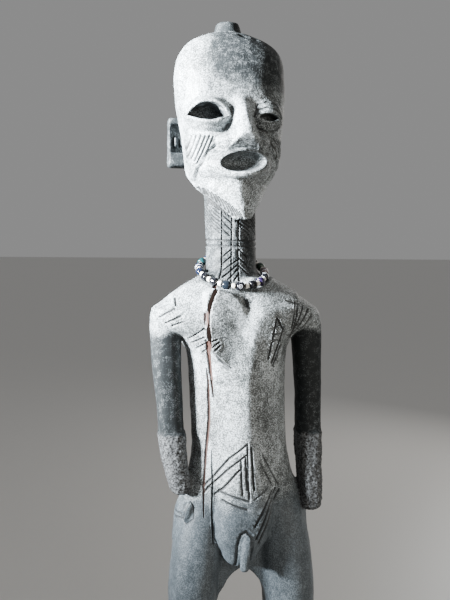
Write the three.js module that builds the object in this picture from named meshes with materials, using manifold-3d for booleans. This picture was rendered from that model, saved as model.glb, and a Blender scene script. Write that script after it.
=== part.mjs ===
// Standing ancestor figure, about one metre tall: one carved log, a stopper in its crown,
// and a string of glass beads round its neck.
// Units are millimetres, +Z is up, the figure faces -Y, and the origin is under the middle of
// the plinth. Left and right are those of someone facing the figure, so left is -X.
import * as THREE from "three";
import { mergeVertices } from "three/addons/utils/BufferGeometryUtils.js";
import Module from "manifold-3d";

const wasm = await Module();
wasm.setup();

// Driving dimensions.
const HEIGHT = 998;
const HALF_SPAN = 106;
const HALF_DEPTH = 85;
const PLINTH = { halfWidth: 96, height: 25, corner: 38, bevel: 3 };
const GAP = 0.3;

// The log leans a little to the left as it rises: where the head and the neck stand.
const HEAD = { x: -12, y: 7 };
const FACE_X = -8;
const EYES = [
  { x: -46, holeX: -48.5, half: 25.5, holeHalf: 19.6 },
  { x: 21, holeX: 23.5, half: 21.5, holeHalf: 16.5 },
];
const EYE_Z = 886;
const MOUTH = { x: -11, z: 832, half: 24, rise: 10, fall: 10 };
const EAR = { x: -9.5, out: 54, y: 56, z: 868.5 };
const NECK = { x: -6.5, y: 12, radius: 30.5, foot: 680, top: 815 };

// Crown stopper and the socket that it stands in.
const SOCKET = { x: -15, y: 5, radius: 17, floor: 932, seat: 981, seatRadius: 24 };
const STOPPER = { plugRadius: 16.2, plugEnd: 945, flangeRadius: 22.5, flangeHeight: 3.4 };
const KNOB = { footRadius: 17.5, topRadius: 13.5, round: 2.2 };

// Necklace: a tilted oval loop of eye beads with spacers between them, on a knotted string.
const LOOP = { x: -6.3, y: 5.5, z: 712.5, halfWidth: 39.5, halfDepth: 44, rise: 0.37 };
const STRING_RADIUS = 0.8;
const EYE_BEADS = 17;
const EYE_BEAD = { radius: 5.3, length: 9.4, hole: 1.5, flat: 0.62 };
const SPACER_BEAD = { radius: 3.3, length: 5.0, hole: 1.4, flat: 0.7 };
const KNOT = { radius: 2.0, room: 8 };
const TAIL = { radius: 0.7, length: 9, outward: 0.35, spread: 0.3 };

// A closed mesh geometry as a manifold solid, and back.
function solid(geometry) {
  const bare = geometry.clone();
  bare.deleteAttribute("normal");
  bare.deleteAttribute("uv");
  const merged = mergeVertices(bare, 1e-4);
  return new wasm.Manifold(
    new wasm.Mesh({
      numProp: 3,
      vertProperties: new Float32Array(merged.attributes.position.array),
      triVerts: new Uint32Array(merged.index.array),
    }),
  );
}

function geometryOf(made) {
  const mesh = made.getMesh();
  const geometry = new THREE.BufferGeometry();
  geometry.setAttribute("position", new THREE.BufferAttribute(mesh.vertProperties, 3));
  geometry.setIndex(new THREE.BufferAttribute(mesh.triVerts, 1));
  geometry.computeVertexNormals();
  return geometry;
}

function union(solids) {
  return solids.reduce((sum, next) => sum.add(next));
}

// One coordinate of a superellipse: power 2 is round, more is boxy, less is ridged.
function rounded(unit, power) {
  return Math.sign(unit) * Math.abs(unit) ** (2 / power);
}

// A closed loft through level sections, listed from the top down. Each section is
// [z, centre x, centre y, half width, depth in front, depth behind], and may end with
// the power of its front half and of its back half.
function loft(sections, sides = 28, frontPower = 2.2, backPower = 2.2) {
  const rows = sections.length - 1;
  const geometry = new THREE.CylinderGeometry(1, 1, 1, sides, rows);
  const position = geometry.attributes.position;
  for (let i = 0; i < position.count; i++) {
    const row = Math.round((0.5 - position.getY(i)) * rows);
    const [z, x, y, half, front, back, ownFront, ownBack] = sections[row];
    const across = position.getX(i);
    const inFront = position.getZ(i);
    const power = inFront > 0 ? (ownFront ?? frontPower) : (ownBack ?? backPower);
    const depth = inFront > 0 ? front : back;
    position.setXYZ(i, x + half * rounded(across, power), y - depth * rounded(inFront, power), z);
  }
  return geometry;
}

function ellipsoid(x, y, z, halfX, halfY, halfZ, sides = 20) {
  const geometry = new THREE.SphereGeometry(1, sides, Math.round(0.7 * sides));
  geometry.scale(halfX, halfY, halfZ);
  return geometry.translate(x, y, z);
}

// An outline in the XZ plane pushed back along +Y from the plane y = front.
function cutThrough(outline, front, depth) {
  const geometry = new THREE.ExtrudeGeometry(outline, {
    depth,
    bevelEnabled: false,
    curveSegments: 10,
  });
  geometry.rotateX(Math.PI / 2);
  return geometry.translate(0, front + depth, 0);
}

// A lens outline from one corner to the other, with its own height above and below.
function lens(left, right, rise, fall) {
  const middle = left.clone().lerp(right, 0.5);
  const outline = new THREE.Shape();
  outline.moveTo(left.x, left.y);
  outline.quadraticCurveTo(middle.x, middle.y - 2 * fall, right.x, right.y);
  outline.quadraticCurveTo(middle.x, middle.y + 2 * rise, left.x, left.y);
  return outline;
}

// The head: a lofted skull and nose with the eyes, muzzle, chin and ears raised on it.
function head() {
  const { x, y } = HEAD;
  const skull = loft(
    [
      [984, x, y, 16, 14, 14],
      [981, x, y, 32, 26, 26],
      [975, x, y, 46, 37, 40],
      [966, x, y, 56, 46, 50],
      [954, x, y, 62, 51, 57],
      [938, x, y, 64, 54, 62],
      [912, x + 0.5, y, 63.5, 56, 63],
      [890, x + 1.5, y, 61.5, 56, 61],
      [862, x + 2.5, y, 56, 56, 57],
      [840, x + 2.5, y, 54, 54, 51],
      [826, x + 1, y - 1, 50.5, 52, 44],
      [812, x + 1, y - 5, 43, 48, 36],
      [800, x + 3, y - 13, 33, 41, 26],
      [786, x + 5, y - 29, 20, 25, 25],
      [777, x + 6, y - 38, 11, 15, 17],
    ],
    36,
    2.5,
    2.4,
  );
  const nose = loft(
    [
      [912, FACE_X, -42, 8, 7, 10],
      [890, FACE_X, -42, 13, 19, 10],
      [872, FACE_X, -42, 15, 29, 10],
      [861, FACE_X, -42, 20, 30, 10],
      [853, FACE_X, -42, 25, 21, 10],
    ],
    16,
    1.7,
    2,
  );
  const muzzle = ellipsoid(MOUTH.x - 1, -40, 831, 39, 27, 19);
  const chin = ellipsoid(FACE_X - 1, -33, 797, 19, 21, 23);
  const eyes = EYES.map((eye) => ellipsoid(eye.x, -39, EYE_Z, eye.half, 19, 20));
  const ears = [-1, 1].map((side) => {
    const block = new THREE.BoxGeometry(30, 22, 59);
    return block.translate(EAR.x + side * EAR.out, EAR.y, EAR.z);
  });
  const raised = union([skull, nose, muzzle, chin, ...eyes, ...ears].map(solid));

  const eyeCuts = EYES.map(({ holeX, holeHalf }) => {
    const left = new THREE.Vector2(holeX - holeHalf, EYE_Z - 3.5);
    const right = new THREE.Vector2(holeX + holeHalf, EYE_Z - 3.5);
    return cutThrough(lens(left, right, 0.75 * holeHalf, 0.2 * holeHalf), -90, 68);
  });
  const mouthLeft = new THREE.Vector2(MOUTH.x - MOUTH.half, MOUTH.z);
  const mouthRight = new THREE.Vector2(MOUTH.x + MOUTH.half, MOUTH.z);
  const mouthCut = cutThrough(lens(mouthLeft, mouthRight, MOUTH.rise, MOUTH.fall), -90, 48);
  const earCuts = [-1, 1].map((side) => {
    const recess = new THREE.BoxGeometry(26, 16, 29);
    return recess.translate(EAR.x + side * (EAR.out + 0.5), EAR.y - 12, EAR.z + 7.5);
  });
  return raised.subtract(union([...eyeCuts, mouthCut, ...earCuts].map(solid)));
}

function neck() {
  const { x, y, radius, foot, top } = NECK;
  return solid(
    loft(
      [
        [top, x, y, radius, radius, radius],
        [710, x, y, radius, radius, radius],
        [700, x, y, radius + 3, radius + 3, radius + 1],
        [foot, x, y, radius + 20, radius + 4, radius + 4],
      ],
      28,
      2,
      2,
    ),
  );
}

function torso() {
  return solid(
    loft(
      [
        [703, -6, 6, 41, 26, 30],
        [694, -5, 5, 60, 31, 34],
        [684, -4, 4, 78, 37, 37],
        [676, -3, 4, 90, 42, 38],
        [668, -2, 3, 97, 44, 39],
        [655, -2, 2, 98, 45, 40],
        [640, -1, 1, 78, 47, 41],
        [622, 0, 0, 62, 48, 42],
        [590, 1, 0, 60, 46, 41],
        [550, 2, -1, 59, 46, 40],
        [505, 4, -2, 59, 47, 41],
        [470, 5, -3, 64, 48, 48],
        [440, 6, -4, 74, 48, 56],
        [415, 7, -4, 83, 46, 58],
        [390, 7, -4, 84, 40, 54],
        [368, 7, -4, 62, 32, 44],
        [356, 7, -4, 40, 24, 32],
        [350, 7, -4, 20, 14, 18],
      ],
      32,
      1.8,
      2.4,
    ),
  );
}

function pelvis() {
  const bulge = ellipsoid(4, -32, 425, 40, 30, 62);
  const peg = ellipsoid(2, -56, 392, 9, 13, 22);
  return union([solid(bulge), solid(peg)]);
}

// An arm from the shoulder to the rough paddle of the hand on the hip.
function arm(side) {
  const left = side < 0;
  const lean = left ? [0, 3, 9, 15, 22] : [0, 0, 0, -1, -3];
  const rise = left ? 31 : 0;
  const outer = side * HALF_SPAN;
  const at = (level, half) => outer + lean[level] - side * half;
  return solid(
    loft(
      [
        [672, outer - side * 24, 2, 12, 12, 12],
        [664, outer - side * 21, 2, 18, 18, 18],
        [650, at(0, 18), 2, 18, 20, 19],
        [600, at(1, 17), 0, 17, 19, 18],
        [530, at(2, 15.5), -4, 15.5, 17, 16],
        [512, at(2, 17), -6, 17, 20, 17],
        [470, at(3, 14.5), -10, 14.5, 22, 17],
        [430 + rise, at(4, 13), -12, 13, 20, 16],
        [418 + rise, at(4, 13), -12, 9, 15, 12],
      ],
      20,
    ),
  );
}

function leg(side) {
  const wide = side < 0 ? 28 : 32;
  const x = 5 + side * 61;
  return solid(
    loft(
      [
        [425, x - side * 16, -2, wide - 2, 36, 40],
        [370, x - side * 6, -6, wide + 2, 38, 38],
        [310, x, -12, wide, 36, 34],
        [250, x - side, -18, wide - 4, 32, 30],
        [215, x - side * 3, -22, wide - 6, 30, 26],
        [185, x - side * 6, -20, wide - 7, 26, 26],
        [140, x - side * 10, -4, wide - 6, 24, 32],
        [100, x - side * 13, 6, wide - 8, 24, 28],
        [70, x - side * 15, 8, wide - 10, 26, 24],
        [52, x - side * 16, 8, wide - 9, 40, 26],
        [36, x - side * 16, 8, wide - 5, 66, 30],
        [15, x - side * 16, 8, wide - 4, 72, 32],
      ],
      24,
    ),
  );
}

// A rounded rectangle with bevelled edges, standing on its flat underside.
function plinth() {
  const { halfWidth, height, corner, bevel } = PLINTH;
  const x = halfWidth - bevel;
  const y = HALF_DEPTH - bevel;
  const r = corner - bevel;
  const outline = new THREE.Shape();
  outline.moveTo(x, y - r);
  outline.absarc(x - r, y - r, r, 0, Math.PI / 2, false);
  outline.absarc(r - x, y - r, r, Math.PI / 2, Math.PI, false);
  outline.absarc(r - x, r - y, r, Math.PI, 1.5 * Math.PI, false);
  outline.absarc(x - r, r - y, r, 1.5 * Math.PI, 2 * Math.PI, false);
  const geometry = new THREE.ExtrudeGeometry(outline, {
    depth: height - 2 * bevel,
    bevelThickness: bevel,
    bevelSize: bevel,
    bevelSegments: 2,
    curveSegments: 8,
  });
  return solid(geometry.translate(0, 0, bevel));
}

// The blind socket in the crown, and the flat ring that the stopper's flange rests on.
function crownCut() {
  const { x, y, radius, floor, seat, seatRadius } = SOCKET;
  const profile = [
    new THREE.Vector2(0, floor),
    new THREE.Vector2(radius, floor),
    new THREE.Vector2(radius, seat),
    new THREE.Vector2(seatRadius, seat),
    new THREE.Vector2(seatRadius, HEIGHT),
    new THREE.Vector2(0, HEIGHT),
  ];
  const geometry = new THREE.LatheGeometry(profile, 28);
  geometry.rotateX(Math.PI / 2);
  return solid(geometry.translate(x, y, 0));
}

function carvedLog() {
  const body = union([
    plinth(),
    leg(-1),
    leg(1),
    torso(),
    pelvis(),
    arm(-1),
    arm(1),
    neck(),
    head(),
  ]);
  return geometryOf(body.subtract(crownCut()));
}

// The stopper: a plug in the socket, a thin flange on the crown and a tapered knob above it.
function crownStopper() {
  const { plugRadius, plugEnd, flangeRadius, flangeHeight } = STOPPER;
  const { footRadius, topRadius, round } = KNOB;
  const flangeFoot = SOCKET.seat + GAP;
  const flangeTop = flangeFoot + flangeHeight;
  const profile = [
    new THREE.Vector2(0, plugEnd),
    new THREE.Vector2(plugRadius - 2.5, plugEnd),
    new THREE.Vector2(plugRadius, flangeFoot - 20),
    new THREE.Vector2(plugRadius, flangeFoot),
    new THREE.Vector2(flangeRadius - 0.6, flangeFoot),
    new THREE.Vector2(flangeRadius, flangeFoot + 1),
    new THREE.Vector2(flangeRadius - 1, flangeTop - 0.6),
    new THREE.Vector2(footRadius, flangeTop),
    new THREE.Vector2(topRadius + 0.6, HEIGHT - round),
    new THREE.Vector2(topRadius - round, HEIGHT),
    new THREE.Vector2(0, HEIGHT),
  ];
  const geometry = new THREE.LatheGeometry(profile, 28);
  geometry.rotateX(Math.PI / 2);
  return geometry.translate(SOCKET.x, SOCKET.y, 0);
}

// The loop that the string follows: turn 0 is at the throat, and turns count to the right.
function loopPoint(turn) {
  const angle = turn * 2 * Math.PI;
  const across = Math.sin(angle) * LOOP.halfWidth;
  const back = -Math.cos(angle) * LOOP.halfDepth;
  return new THREE.Vector3(LOOP.x + across, LOOP.y + back, LOOP.z + back * LOOP.rise);
}

class LoopCurve extends THREE.Curve {
  getPoint(turn, target = new THREE.Vector3()) {
    return target.copy(loopPoint(turn));
  }
}

const loopCurve = new LoopCurve();
loopCurve.arcLengthDivisions = 720;

// A closed ring swept along the loop, with a knot and two short tails at the nape.
function string() {
  const steps = 72;
  const sides = 6;
  const ring = new THREE.TorusGeometry(1, 0.1, sides, steps);
  const position = ring.attributes.position;
  for (let i = 0; i < position.count; i++) {
    const column = (i % (steps + 1)) % steps;
    const row = Math.floor(i / (steps + 1)) % sides;
    const around = (row / sides) * 2 * Math.PI;
    const turn = column / steps;
    const ahead = loopCurve.getTangent(turn);
    const out = new THREE.Vector3(ahead.y, -ahead.x, 0).normalize();
    const up = new THREE.Vector3().crossVectors(out, ahead);
    const point = loopPoint(turn);
    point.addScaledVector(out, STRING_RADIUS * Math.cos(around));
    point.addScaledVector(up, STRING_RADIUS * Math.sin(around));
    position.setXYZ(i, point.x, point.y, point.z);
  }
  return geometryOf(union([solid(ring), ...knotSolids()]));
}

// The knot at the nape and its two tails, which hang down and out over the nape.
function knotSolids() {
  const nape = loopPoint(0.5);
  const { radius } = KNOT;
  const knot = ellipsoid(nape.x, nape.y + 0.6, nape.z, 1.4 * radius, radius, radius, 10);
  const tails = [-1, 1].map((side) => {
    const tail = new THREE.CylinderGeometry(TAIL.radius, TAIL.radius, TAIL.length, 6);
    tail.translate(0, -TAIL.length / 2, 0);
    tail.rotateX(Math.PI / 2 + TAIL.outward);
    tail.rotateY(-side * TAIL.spread);
    return solid(tail.translate(nape.x + side, nape.y + 1, nape.z));
  });
  return [solid(knot), ...tails];
}

// A bead with a straight hole, its axis along +Y before it is strung. Its ends are flat out to
// their share of its radius.
function bead({ radius, length, hole, flat }, sides) {
  const half = length / 2;
  const profile = [
    new THREE.Vector2(hole, -half),
    new THREE.Vector2(radius * flat, -half),
    new THREE.Vector2(radius * 0.94, -half * 0.6),
    new THREE.Vector2(radius, 0),
    new THREE.Vector2(radius * 0.94, half * 0.6),
    new THREE.Vector2(radius * flat, half),
    new THREE.Vector2(hole, half),
    new THREE.Vector2(hole, -half),
  ];
  return new THREE.LatheGeometry(profile, sides);
}

function materialOf(colour, roughness) {
  return new THREE.MeshStandardMaterial({ color: colour, roughness, metalness: 0 });
}

const DARK_GLASS = materialOf("#1d2430", 0.3);
const PALE_GLASS = materialOf("#dcd9d0", 0.4);

function part(name, geometry, material) {
  const mesh = new THREE.Mesh(geometry, material);
  mesh.name = name;
  return mesh;
}

// A bead at its distance along the string from the knot, with its hole along the loop.
function strung(name, geometry, material, distance) {
  const turn = (0.5 + distance / loopCurve.getLength()) % 1;
  const mesh = part(name, geometry, material);
  mesh.position.copy(loopCurve.getPointAt(turn));
  mesh.quaternion.setFromUnitVectors(new THREE.Vector3(0, 1, 0), loopCurve.getTangentAt(turn));
  return mesh;
}

// The eye beads are spread evenly from one side of the knot to the other.
function beads() {
  const first = (KNOT.room + EYE_BEAD.length) / 2;
  const pitch = (loopCurve.getLength() - 2 * first) / (EYE_BEADS - 1);
  const made = [];
  for (let i = 0; i < EYE_BEADS; i++) {
    const label = String(i + 1).padStart(2, "0");
    const distance = first + i * pitch;
    const eye = bead(EYE_BEAD, 12);
    made.push(strung(`eye_bead_${label}`, eye, DARK_GLASS, distance));
    if (i + 1 < EYE_BEADS) {
      const spacer = bead(SPACER_BEAD, 8);
      made.push(strung(`spacer_bead_${label}`, spacer, PALE_GLASS, distance + pitch / 2));
    }
  }
  return made;
}

const figure = new THREE.Group();
figure.add(part("carved_log", carvedLog(), materialOf("#5e625f", 0.6)));
figure.add(part("crown_stopper", crownStopper(), materialOf("#7b807f", 0.6)));
figure.add(part("necklace_string", string(), materialOf("#2a2420", 0.9)));
figure.add(...beads());

export default figure;
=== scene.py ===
import math

import bpy
import numpy as np
import openvdb
from mathutils import Matrix, Vector


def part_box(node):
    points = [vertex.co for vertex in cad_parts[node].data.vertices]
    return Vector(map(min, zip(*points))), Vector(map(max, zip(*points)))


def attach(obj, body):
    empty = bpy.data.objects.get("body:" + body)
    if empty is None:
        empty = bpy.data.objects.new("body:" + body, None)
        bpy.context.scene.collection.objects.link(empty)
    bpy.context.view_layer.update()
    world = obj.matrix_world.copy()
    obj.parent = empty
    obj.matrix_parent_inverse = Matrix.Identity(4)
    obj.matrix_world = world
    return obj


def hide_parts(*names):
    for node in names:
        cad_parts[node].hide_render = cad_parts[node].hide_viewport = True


# The standing figure: one carved log with a stopper in its crown and a string of glass beads.
# The carving is worked out in millimetres in the CAD's own frame, and scaled as its mesh is made.

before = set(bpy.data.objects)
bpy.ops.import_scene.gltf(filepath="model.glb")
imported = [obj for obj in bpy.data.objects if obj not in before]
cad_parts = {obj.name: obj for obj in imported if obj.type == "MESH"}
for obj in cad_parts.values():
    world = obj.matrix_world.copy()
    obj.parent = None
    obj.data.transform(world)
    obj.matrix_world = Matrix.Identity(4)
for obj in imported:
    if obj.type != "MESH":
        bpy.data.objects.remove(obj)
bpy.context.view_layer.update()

MM = 0.001

# Camera, level with the necklace: distance and bearing from the figure's axis.
CAMERA_DISTANCE = 0.720
CAMERA_BEARING = math.radians(-12)
CAMERA_SIDEWAYS = -0.0066
CAMERA_X = -0.009
CAMERA_HEIGHT = 0.740
CAMERA_PITCH = math.radians(5)
CAMERA_ROLL = math.radians(0.6)

# The coarse mesh's cell, and the longest edges on plain wood, rough wood, the face and the cuts.
VOXEL = 3.2
PLAIN_EDGE = 5.0
ROUGH_EDGE = 1.7
FACE_EDGE = 1.45
CUT_EDGE = 0.8

# The middle of the face, the bulges of the eyes (x, z, half width, depth, turn), the almond holes
# in them (x, z, half width, rise, fall) and the mouth. The eye on +X is narrower and nearly closed.
FACE_X = -8
EYES = {-1: (-46, 886, 25.5, 16, -21), 1: (21, 885, 21, 16, 24)}
EYE_HOLES = {-1: (-47, 883, 21, 13.2, 5.2), 1: (21, 883, 11.5, 3.8, 3.8)}
EYE_FLOOR = {-1: -26, 1: -41}
LID_RADIUS = {-1: 2.4, 1: 1.6}
EAR_X, EAR_Z = 54, 868.5
MOUTH = (-11.5, 832)

NECK_X, NECK_Y, NECK_RADIUS = -6.5, 12, 30.5
SOCKET_X, SOCKET_Y, SOCKET_RADIUS, SOCKET_FLOOR = -15, 5, 17, 932
SEAT_Z, SEAT_RADIUS = 981, 24
# The narrow slot under the front of the stopper.
SLOT_MIDDLE, SLOT_HALF = (3, -31, 974.8), (10.5, 8, 1.3)
# The necklace: the oval of its string and how it rises to the back, the beads and the string.
LOOP_X, LOOP_Y, LOOP_Z, LOOP_HALF_X, LOOP_HALF_Y, LOOP_RISE = -6.3, 5.5, 712.5, 39.5, 44, 0.37
BEAD_RADIUS, BEAD_HALF, BEAD_HOLE = 5.3, 4.7, 1.5
SPACER_RADIUS, SPACER_HALF, SPACER_HOLE = 3.3, 2.5, 1.4
PLY_RADIUS = 0.42
TWIST_PITCH = 3.6

PLINTH_HALF = (96, 85)
PLINTH_HEIGHT = 25
PLINTH_CORNER = 38

# Sections of the carving from the ground up. Each row is the height, the centre's x and y, the
# half width, the depth in front and behind, and how boxy the front and the back are: 2 is
# elliptical, less is keeled.
TRUNK_ROWS = [
    (350, 7, -4, 30, 10, 22, 2.2, 2.4),
    (368, 7, -4, 62, 14, 44, 2.2, 2.4),
    (390, 7, -4, 84, 18, 54, 2.2, 2.4),
    (415, 7, -4, 83, 24, 58, 2.1, 2.4),
    (440, 6, -4, 74, 34, 56, 2.0, 2.4),
    (470, 5, -3, 64, 45, 48, 1.7, 2.4),
    (505, 4, -2, 59, 48, 42, 1.5, 2.4),
    (550, 2, -1, 59, 48, 40, 1.42, 2.4),
    (590, 1, 0, 60, 48, 41, 1.42, 2.4),
    (618, 0, 0, 62, 46, 42, 1.7, 2.4),
    (636, -1, 1, 71, 43, 42, 2.1, 2.6),
    (648, -2, 2, 94, 41, 41, 2.3, 2.7),
    (658, -2, 2, 102, 41, 40, 2.4, 2.7),
    (667, -2, 3, 101, 41, 39, 2.4, 2.7),
    (674, -2, 4, 92, 39, 38, 2.4, 2.5),
    (686, -4, 4, 75, 36, 36, 2.3, 2.4),
    (695, -5.5, 6, 60, 32, 34, 2.2, 2.2),
    (703, -6, 7, 46, 29, 31, 2.0, 2.0),
    (711, -6, 8, 34, 27, 29, 2.0, 2.0),
]
NECK_ROWS = [
    (676, -6, 12, 34, 34, 33, 2, 2),
    (700, -6, 12, 31, 31, 31, 2, 2),
    (740, -6.5, 12, 30.3, 30.3, 30.5, 2, 2),
    (780, -8, 12, 30.5, 30.5, 30.5, 2, 2),
    (822, -10, 12, 31, 31, 31, 2, 2),
]
SKULL_ROWS = [
    (774, -3, -34, 8, 12, 16, 2.0, 2.2),
    (787, -4, -24, 19.5, 22, 24, 2.0, 2.2),
    (800, -8, -8, 34, 38, 26, 2.0, 2.2),
    (812, -9.5, 2, 43.5, 47, 36, 2.0, 2.3),
    (826, -10, 6, 51.5, 51, 44, 2.2, 2.4),
    (840, -9.5, 7, 54.5, 52, 51, 2.5, 2.4),
    (862, -9.5, 7, 57, 54, 57, 2.6, 2.4),
    (890, -10.5, 7, 61, 55, 61, 2.7, 2.4),
    (912, -11.5, 7, 63.5, 56, 63, 2.6, 2.4),
    (938, -12.5, 7, 64, 54, 62, 2.5, 2.4),
    (954, -12.5, 7, 62, 50, 57, 2.5, 2.4),
    (966, -12.5, 7, 56, 44, 50, 2.4, 2.3),
    (975, -13, 7, 46, 35, 40, 2.3, 2.2),
    (981, -14, 6, 33, 27, 27, 2.0, 2.0),
    (984, -15, 5, 26, 23, 23, 2.0, 2.0),
]
JAW_ROWS = [
    (775, -5, -32, 8, 15, 14, 1.7, 2),
    (788, -9, -26, 20, 26, 14, 1.7, 2),
    (802, -12, -22, 29, 33, 14, 1.6, 2),
    (815, -13, -22, 32, 32, 14, 1.6, 2),
    (828, -13, -22, 30, 28, 10, 1.7, 2),
]
PELVIS_ROWS = [
    (360, 1, -18, 8, 18, 10, 2.6, 2),
    (368, -2, -18, 18, 27, 12, 2.8, 2),
    (384, 0, -16, 28, 33, 14, 2.8, 2),
    (400, 1.5, -14, 36, 37, 16, 3.0, 2),
    (425, 3.5, -12, 38.5, 40, 18, 2.8, 2),
    (455, 4, -10, 39.5, 40, 20, 2.5, 2),
    (476, 4, -10, 38, 38, 20, 2.0, 2),
]
NOSE_ROWS = [
    (842, -8, -42, 23, 24, 10, 2.4, 2),
    (852, -7.5, -42, 20, 28, 10, 2.3, 2),
    (862, -7, -42, 16.5, 33, 10, 2.2, 2),
    (873, -7.5, -42, 14.5, 28, 10, 1.8, 2),
    (884, -8, -42, 13.5, 21, 10, 1.6, 2),
    (896, -8.5, -42, 13, 13, 10, 1.7, 2),
    (909, -9, -42, 11, 6, 10, 1.8, 2),
]
LEFT_ARM_ROWS = [
    (449, -70, -12, 8, 15, 12, 2.6, 2.2),
    (455, -71, -12, 12, 19, 15, 2.6, 2.2),
    (466, -73, -12, 13.6, 21, 16, 2.7, 2.2),
    (482, -76.5, -10, 14.6, 22, 17, 2.7, 2.2),
    (505, -79.5, -7, 15.8, 21, 17, 2.7, 2.2),
    (519, -80.5, -5, 16.6, 20, 17, 2.7, 2.2),
    (524, -81, -4, 15.2, 17, 16, 2.7, 2.2),
    (560, -83, -2, 15.6, 17, 16, 2.7, 2.2),
    (600, -86, 0, 17, 18.5, 18, 2.6, 2.2),
    (646, -87, 2, 18.5, 19, 19, 2.4, 2.2),
    (660, -86, 2, 18, 17, 18, 2.2, 2.2),
    (668, -84, 2, 12, 12, 12, 2.2, 2.2),
]
RIGHT_ARM_ROWS = [
    (418, 91, -12, 9, 14, 12, 2.8, 2.2),
    (423, 92, -12, 13, 19, 15, 2.8, 2.2),
    (433, 92, -12, 14, 20, 16, 2.8, 2.2),
    (470, 90.5, -10, 14.8, 21, 17, 2.8, 2.2),
    (505, 89.6, -7, 16.2, 20.5, 17, 2.8, 2.2),
    (514, 89.5, -6, 16.4, 20, 17, 2.8, 2.2),
    (520, 90, -5, 15.4, 17.5, 16, 2.8, 2.2),
    (560, 90, -3, 15.6, 17.5, 16, 2.8, 2.2),
    (600, 89, 0, 17, 18.5, 18, 2.6, 2.2),
    (646, 87.5, 2, 18.5, 19, 19, 2.4, 2.2),
    (660, 86, 2, 18, 17, 18, 2.2, 2.2),
    (668, 84, 2, 12, 12, 12, 2.2, 2.2),
]
# Outlines on the chest, as X and height.
CHEST_PLATE = [(-46, 690), (-36, 694), (-18, 689), (-6, 681), (-1, 671), (4, 650), (6, 634)]
CHEST_PLATE += [(-3, 594), (-9, 597), (-18, 603), (-27, 610), (-41, 624), (-47, 640)]
THROAT_NOTCH = [(-13, 697), (0, 696), (5, 668), (-2, 674)]


# ---- field tools


def blend_min(a, b, k):
    """The smaller of two fields, with a fillet about k wide where they meet."""
    h = np.maximum(k - np.abs(a - b), 0) / k
    return np.minimum(a, b) - h * h * k * 0.25


def blend_max(a, b, k):
    return -blend_min(-a, -b, k)


def smooth_step(value, low, high):
    t = np.clip((value - low) / (high - low), 0, 1)
    return t * t * (3 - 2 * t)


def turned(p, centre, tilt=0.0, lean=0.0, yaw=0.0):
    """Points in a shape's own axes, turned about Z, then X, then Y by degrees."""
    q = p - np.asarray(centre, float)
    for angle, (i, j) in ((yaw, (0, 1)), (tilt, (1, 2)), (lean, (2, 0))):
        if angle:
            c, s = math.cos(math.radians(angle)), math.sin(math.radians(angle))
            a, b = q[:, i].copy(), q[:, j].copy()
            q[:, i] = c * a + s * b
            q[:, j] = c * b - s * a
    return q


def ellipsoid(p, centre, radii, **turn):
    q = turned(p, centre, **turn)
    r = np.asarray(radii, float)
    k0 = np.sqrt(((q / r) ** 2).sum(1))
    k1 = np.sqrt(((q / (r * r)) ** 2).sum(1))
    return k0 * (k0 - 1) / np.maximum(k1, 1e-6)


def block(p, centre, half, rounding, **turn):
    q = np.abs(turned(p, centre, **turn)) - (np.asarray(half, float) - rounding)
    outside = np.sqrt((np.maximum(q, 0) ** 2).sum(1))
    return outside + np.minimum(q.max(1), 0) - rounding


def limb(p, start, end, radius_start, radius_end):
    """A round bar that tapers from one ball to another."""
    a, b = np.asarray(start, float), np.asarray(end, float)
    axis = b - a
    t = np.clip(((p - a) @ axis) / (axis @ axis), 0, 1)
    nearest = a + t[:, None] * axis
    return np.sqrt(((p - nearest) ** 2).sum(1)) - (radius_start + t * (radius_end - radius_start))


def polygon(x, z, corners):
    """Signed distance to an outline in the XZ plane, below zero inside it."""
    nearest = np.full(len(x), 1e9)
    inside = np.zeros(len(x), bool)
    for (x0, z0), (x1, z1) in zip(corners, corners[1:] + corners[:1]):
        ax, az, bx, bz = x - x0, z - z0, x1 - x0, z1 - z0
        t = np.clip((ax * bx + az * bz) / (bx * bx + bz * bz), 0, 1)
        nearest = np.minimum(nearest, np.hypot(ax - t * bx, az - t * bz))
        if z0 != z1:
            inside ^= ((z0 > z) != (z1 > z)) & (x < x0 + bx * (z - z0) / bz)
    return np.where(inside, -nearest, nearest)


def between(p, low, high, field, far):
    """A field worked out only for the points between two heights."""
    distance = np.full(len(p), far)
    near = (p[:, 2] > low) & (p[:, 2] < high)
    if near.any():
        distance[near] = field(p[near])
    return distance


def between_joined(p, low, high, change, shape):
    """Changes a shape's field between two heights."""
    changed = shape.copy()
    near = (p[:, 2] > low) & (p[:, 2] < high)
    if near.any():
        changed[near] = change(p[near], shape[near])
    return changed


def value_noise(p, cell):
    """Smooth random values from -1 to 1 that change over about a cell's width."""
    q = p / cell
    whole = np.floor(q)
    f = q - whole
    f = f * f * (3 - 2 * f)
    total = np.zeros(len(p))
    for corner in range(8):
        step = np.array([corner & 1, corner >> 1 & 1, corner >> 2 & 1])
        seed = np.sin((whole + step) @ np.array([127.1, 311.7, 74.7])) * 43758.5453
        weight = np.where(step, f, 1 - f).prod(1)
        total += weight * (seed - np.floor(seed))
    return 2 * total - 1


def eased(level, levels, values):
    """Values carried smoothly from level to level, without overshoot."""
    step = np.diff(levels)
    slope = np.diff(values) / step
    tangent = np.zeros(len(values))
    product = slope[1:] * slope[:-1]
    total = np.where(product > 0, slope[1:] + slope[:-1], 1)
    tangent[1:-1] = np.where(product > 0, 2 * product / total, 0)
    tangent[0], tangent[-1] = slope[0], slope[-1]
    i = np.clip(np.searchsorted(levels, level) - 1, 0, len(step) - 1)
    t = np.clip((level - levels[i]) / step[i], 0, 1)
    return (
        (1 + 2 * t) * (1 - t) ** 2 * values[i]
        + t * (1 - t) ** 2 * step[i] * tangent[i]
        + t * t * (3 - 2 * t) * values[i + 1]
        + t * t * (t - 1) * step[i] * tangent[i + 1]
    )


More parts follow.
